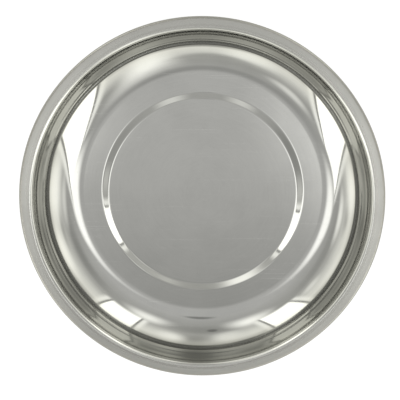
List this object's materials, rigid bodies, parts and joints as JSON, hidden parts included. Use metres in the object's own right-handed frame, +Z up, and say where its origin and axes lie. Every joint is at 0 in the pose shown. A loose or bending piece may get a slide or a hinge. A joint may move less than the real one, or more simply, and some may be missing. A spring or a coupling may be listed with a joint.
{
  "type": "magnetic parts tray",
  "caption": "Round polished steel dish with a flat rolled rim and a raised floor, on a rubber-covered ring magnet that holds loose steel parts and grips a steel surface.",
  "frame": {"origin": "on the table under the middle of the rubber foot", "axes": "+Z up along the dish's axis; the dish is round, so +X and +Y are free"},
  "size_m": [0.15, 0.15, 0.033],
  "materials": {
    "polished_stainless": "bright polished stainless steel",
    "coppered_steel": "steel with a thin copper flash",
    "foam": "closed-cell foam",
    "ferrite": "ground sintered ferrite",
    "hub_plastic": "moulded natural nylon",
    "zinc_plated_steel": "bright zinc plate",
    "black_rubber": "moulded matt rubber"
  },
  "bodies": {
    "root": {"dish": "polished_stainless", "weld_stud": "coppered_steel", "cushion_pad": "foam", "ring_magnet": "ferrite", "centring_hub": "hub_plastic", "clamp_cup": "zinc_plated_steel", "spring_washer": "zinc_plated_steel", "hex_nut": "zinc_plated_steel", "rubber_boot": "black_rubber"}
  },
  "joints": []
}
